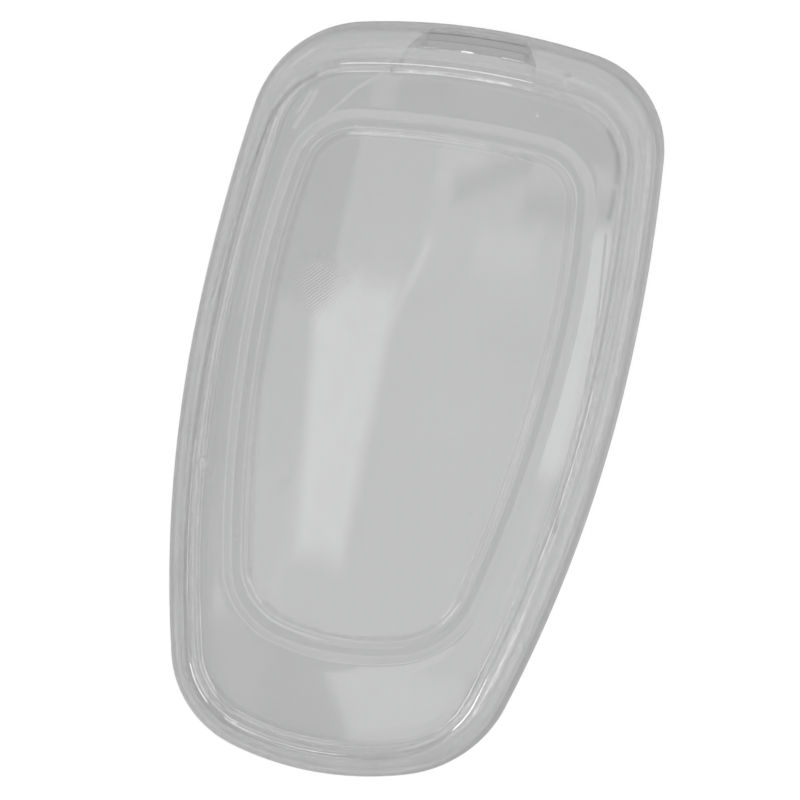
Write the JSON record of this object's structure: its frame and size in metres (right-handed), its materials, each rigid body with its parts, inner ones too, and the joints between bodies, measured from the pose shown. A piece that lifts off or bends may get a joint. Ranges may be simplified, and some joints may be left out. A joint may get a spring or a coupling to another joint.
{
  "type": "key fob cover",
  "caption": "Clear soft-plastic cover for a car key fob: front and rear shells that close round it, with a thin inset button panel and a key ring slot in the wide end.",
  "frame": {"origin": "under the middle of the cover, on the surface that its rear face lies on", "axes": "+Z out of the front face, +Y along the cover towards its wide end with the key ring slot, +X across it"},
  "size_m": [0.046, 0.0822, 0.0159],
  "materials": {
    "clear_rear": "clear gloss",
    "clear_front": "clear gloss"
  },
  "bodies": {
    "rear": {"rear_shell": "clear_rear"},
    "front": {"front_shell": "clear_front"}
  },
  "joints": [
    {"name": "front_lift_off", "type": "slide", "parent": "rear", "child": "front", "axis": [0, 0, 1], "range_m": [0, 0.02]}
  ]
}
